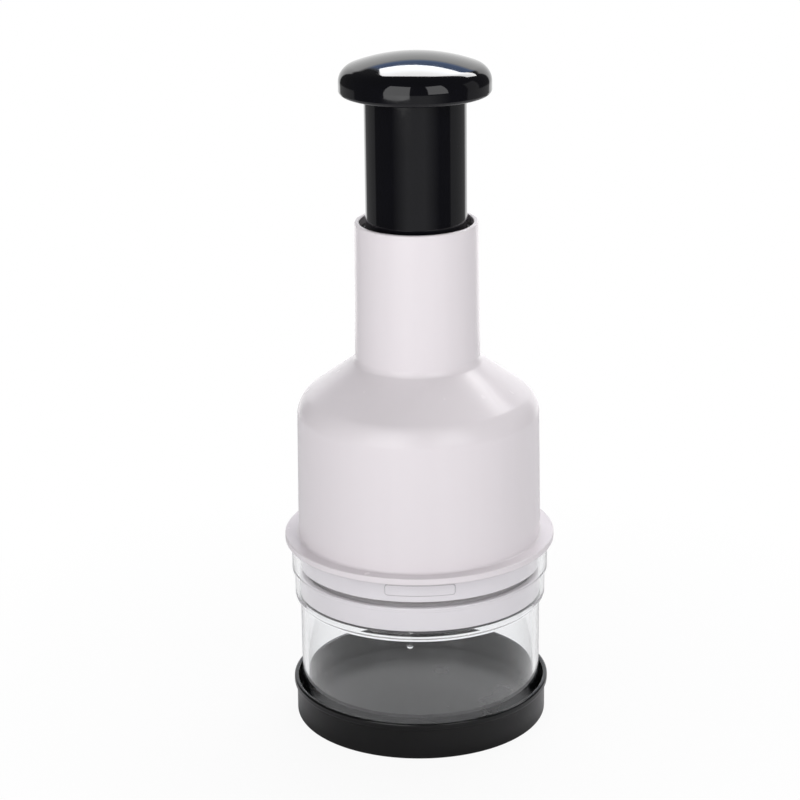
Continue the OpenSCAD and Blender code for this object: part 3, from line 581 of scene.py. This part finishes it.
def blade(node, folds):
    """A strip bent into a W between its folds, with a leg standing on each panel."""
    bm = bmesh.new()
    folds = [Vector(p) for p in folds]
    runs = [b - a for a, b in zip(folds, folds[1:])]
    turns = [a.angle_signed(b) * -1 for a, b in zip(runs, runs[1:])]
    setbacks = [0.0] + [BEND_R * math.tan(abs(t) / 2) for t in turns] + [0.0]
    end = strip_section(bm, folds[0], runs[0].normalized())
    for i, run in enumerate(runs):
        along = run.normalized()
        end = draw_on(bm, end, along * (run.length - setbacks[i] - setbacks[i + 1]))
        if i < len(turns):
            hand = math.copysign(1, turns[i])
            across = Vector((-along.y, along.x)) * hand
            bend = folds[i + 1] - along * setbacks[i + 1] + across * BEND_R
            end = bmesh.ops.spin(bm, geom=end, cent=Vector((bend.x, bend.y, 0)) * MM,
                                 axis=(0, 0, 1), angle=turns[i], steps=10)["geom_last"]
    bmesh.ops.holes_fill(bm, edges=[e for e in bm.edges if e.is_boundary], sides=0)
    tidy(bm)
    for face in bm.faces:
        face.material_index = int(face.calc_center_median().z < (TIP_Z + BEVEL_H) * MM
                                  and abs(face.normal.z) > 0.05)
    leg_foot, leg_top = BAND_TOP - 1, top(node)
    for a, run in zip(folds, runs):
        middle = a + run / 2
        angle = math.atan2(run.y, run.x)
        centre = Matrix.Rotation(-angle, 2) @ middle
        block(bm, (LEG_W, LEG_T, leg_top - leg_foot),
              (centre.x, centre.y, (leg_foot + leg_top) / 2), turn=angle)
    piece(node + "_strip", bm, "blade_unit", [STRIP_STEEL, GROUND_STEEL], [node])


def blades():
    """The three folded blades, each a W seen from above."""
    holder_r = reach("blade_holder")
    middle = [(i * 0.486 * holder_r, (0.257 if i % 2 else -0.257) * holder_r)
              for i in range(-2, 3)]
    back = [(i * 0.38 * holder_r, (0.886 if i % 2 else 0.4) * holder_r) for i in range(-2, 3)]
    blade("blade_middle", middle)
    blade("blade_back", back)
    blade("blade_front", [(-x, -y) for x, y in back])


# ---- Return spring ----
def spring():
    """The return spring: one wire, with a closed turn at each end."""
    wire_r, coils, facets, stroke = 0.9, 14, 48, 41
    low, high = foot("return_spring"), top("return_spring")
    mean_r = reach("return_spring") - wire_r
    end_pitch = 2.3
    pitch = (high - low - 2 * wire_r - 2 * end_pitch) / (coils - 2)
    bm = bmesh.new()
    ring = bmesh.ops.create_circle(bm, segments=12, radius=wire_r * MM)["verts"]
    bmesh.ops.rotate(bm, verts=ring, cent=(0, 0, 0), matrix=Matrix.Rotation(math.pi / 2, 3, "X"))
    bmesh.ops.translate(bm, verts=ring, vec=Vector((mean_r, 0, low + wire_r)) * MM)
    end = bm.verts[:] + bm.edges[:]
    for turns, rise in ((1, end_pitch), (coils - 2, pitch), (1, end_pitch)):
        end = bmesh.ops.spin(bm, geom=end, cent=(0, 0, 0), axis=(0, 0, 1), angle=math.tau * turns,
                             steps=facets * turns, dvec=(0, 0, rise / facets * MM))["geom_last"]
    bmesh.ops.holes_fill(bm, edges=[e for e in bm.edges if e.is_boundary], sides=0)
    tidy(bm)
    made = piece("return_spring_wire", bm, "housing", [SPRING_STEEL],
                 ["return_spring"])
    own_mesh(made)


base_cap()
clear_cup()
housing()
neck_ring()
stem()
knob()
blades()
spring()

# ---- CAD nodes that keep their mesh ----
FINISHES = {
    "spring_barrel": WHITE, "blade_guard": GUARD_WHITE_PAINTED_SHADE, "blade_holder": WHITE, "holder_cap": WHITE,
    "ratchet_ring": ACETAL, "index_nut": ACETAL, "bearing_plug": ACETAL, "thrust_washer": ACETAL,
    "drive_bar": BAR_STEEL, "spring_cap": SCREW_STEEL, "shaft_clip": SPRING_STEEL,
    "barrel_screws": SCREW_STEEL, "holder_screws": SCREW_STEEL,
    "hub_washer": SCREW_STEEL, "hub_screw": SCREW_STEEL,
}
for node, material in FINISHES.items():
    for socket in frame["nodes"][node].material_slots:
        socket.material = material


# ---- Floor, light and camera ----
def seen_straight(tree):
    """1 for what the camera sees, by itself or through the clear cup."""
    rays = add(tree, "ShaderNodeLightPath")
    return add(tree, "ShaderNodeMath", {
        0: rays.outputs["Is Camera Ray"], 1: rays.outputs["Is Transmission Ray"]},
        operation="MAXIMUM").outputs["Value"]


def floor():
    """A round white table top that shows as plain white, and keeps a soft shadow of the object
    near it."""
    table_r, shadow_from, shadow_to = 0.45, 0.05, 0.22
    bm = bmesh.new()
    bmesh.ops.create_circle(bm, cap_ends=True, segments=96, radius=table_r)
    mesh = bpy.data.meshes.new("table")
    bm.to_mesh(mesh)
    bm.free()
    table = bpy.data.objects.new("table", mesh)
    bpy.context.scene.collection.objects.link(table)
    material, tree, surface, place = new_material("table_matt_white", Roughness=0.9)
    surface.inputs["Base Color"].default_value = linear("#E4E3E4")
    white = add(tree, "ShaderNodeEmission", {"Color": linear("#FFFFFF"), "Strength": 1.0})
    distance = add(tree, "ShaderNodeVectorMath", {0: place},
                   operation="LENGTH").outputs["Value"]
    share = between(tree, distance, 0.93, 1.0, shadow_from, shadow_to)
    seen = seen_straight(tree)
    factor = add(tree, "ShaderNodeMath", {0: seen, 1: share},
                 operation="MULTIPLY").outputs["Value"]
    mixed = add(tree, "ShaderNodeMixShader", {
        0: factor, 1: surface.outputs["BSDF"], 2: white.outputs["Emission"]})
    tree.links.new(mixed.outputs["Shader"], tree.nodes["Material Output"].inputs["Surface"])
    mesh.materials.append(material)


def lamp(name, place, size, power, target, roll=0.0):
    """A soft box of a size in metres, aimed at the object and turned in its own plane."""
    light = bpy.data.lights.new(name, "AREA")
    light.shape = "RECTANGLE"
    light.size, light.size_y = size
    light.energy = power
    made = bpy.data.objects.new(name, light)
    facing = (Vector(target) - Vector(place)).to_track_quat("-Z", "Y").to_matrix().to_4x4()
    made.matrix_world = Matrix.Translation(place) @ facing @ Matrix.Rotation(roll, 4, "Z")
    bpy.context.scene.collection.objects.link(made)


def world():
    """The studio: plain white as the camera sees it. The object itself stands in a dark room with
    a white backdrop behind it, a bluish gap above the backdrop, a dim floor in front, a dim
    strip to the right and a low dim band round the back and the sides."""
    room = bpy.data.worlds.new("room")
    bpy.context.scene.world = room
    room.use_nodes = True
    tree = room.node_tree
    tree.nodes.clear()
    direction = add(tree, "ShaderNodeTexCoord").outputs["Generated"]
    way = add(tree, "ShaderNodeSeparateXYZ", {"Vector": direction})

    def maths(operation, a, b):
        return add(tree, "ShaderNodeMath", {0: a, 1: b}, operation=operation).outputs["Value"]

    up = way.outputs["Z"]
    aside = maths("ARCTAN2", way.outputs["X"], way.outputs["Y"])
    turned_away = add(tree, "ShaderNodeMath", {0: aside}, operation="ABSOLUTE").outputs["Value"]

    def patch(left, right, low, high, strength, soft=0.03):
        """A soft-edged patch of the room: its sides in radians from behind the object, its foot
        and top as the height of the direction, and how bright it is."""
        across = maths("MULTIPLY", between(tree, aside, 0.0, 1.0, left - soft, left + soft),
                       between(tree, aside, 1.0, 0.0, right - soft, right + soft))
        upward = maths("MULTIPLY", between(tree, up, 0.0, 1.0, low - soft, low + soft),
                       between(tree, up, 1.0, 0.0, high - soft, high + soft))
        return maths("MULTIPLY", maths("MULTIPLY", across, upward), strength)

    gap = patch(-0.21, 0.36, 0.47, 0.7, 1.0, soft=0.02)
    front = maths("MULTIPLY", between(tree, turned_away, 0.0, 0.38, 2.2, 2.8),
                  between(tree, up, 1.0, 0.0, -0.13, -0.05))
    sides = maths("ADD", patch(1.25, 1.68, -1.0, 0.5, 0.22), patch(-1.35, 1.25, -1.0, -0.12, 0.22))
    backdrop = patch(-0.56, 0.64, -0.35, 0.47, 1.15)
    shown = maths("ADD", maths("ADD", backdrop, front),
                  maths("ADD", maths("MULTIPLY", gap, 0.85), sides))
    diffuse = add(tree, "ShaderNodeLightPath").outputs["Is Diffuse Ray"]
    fill = maths("MULTIPLY", diffuse, between(tree, up, 0.74, 0.0, 0.15, 0.5))
    room_level = 0.07
    seen = seen_straight(tree)
    strength = add(tree, "ShaderNodeMix", {
        "Factor": seen, "A": maths("ADD", shown, maths("ADD", fill, room_level)),
        "B": 1.0}).outputs["Result"]
    tint = maths("MULTIPLY", gap, maths("SUBTRACT", 1.0, seen))
    colour = add(tree, "ShaderNodeMix", {
        "Factor": tint, "A": linear("#FFFFFF"), "B": linear("#A8C4F8")},
        data_type="RGBA").outputs["Result"]
    back = add(tree, "ShaderNodeBackground", {"Color": colour, "Strength": strength})
    add(tree, "ShaderNodeOutputWorld", {"Surface": back.outputs["Background"]})


def camera():
    """The viewing angle: a long lens, looking down on the object from the front."""
    lens = bpy.data.cameras.new("camera")
    lens.sensor_width = 36
    lens.lens = 112.9
    made = bpy.data.objects.new("camera", lens)
    place = (0, -0.8143, 0.3868)
    down, aside, lean = math.radians(18.5), math.radians(0.436), math.radians(-0.7)
    made.matrix_world = (
        Matrix.Translation(place) @ Matrix.Rotation(aside, 4, "Z")
        @ Matrix.Rotation(math.pi / 2 - down, 4, "X") @ Matrix.Rotation(lean, 4, "Z"))
    bpy.context.scene.collection.objects.link(made)
    bpy.context.scene.camera = made


floor()
world()
lamp("box_left", (-0.531, -1.02, 0.77), (0.81, 1.57), 7.9, target=(0, 0, 0.77))
lamp("box_right", (0.643, -0.953, 0.86), (0.62, 1.28), 4.9, target=(0, 0, 0.86))
lamp("window_behind", (0.244, 0.67, 0.935), (0.95, 0.28), 7.4, target=(0, 0, 0.22),
     roll=math.radians(6))
camera()
bpy.context.scene.view_settings.view_transform = "Standard"
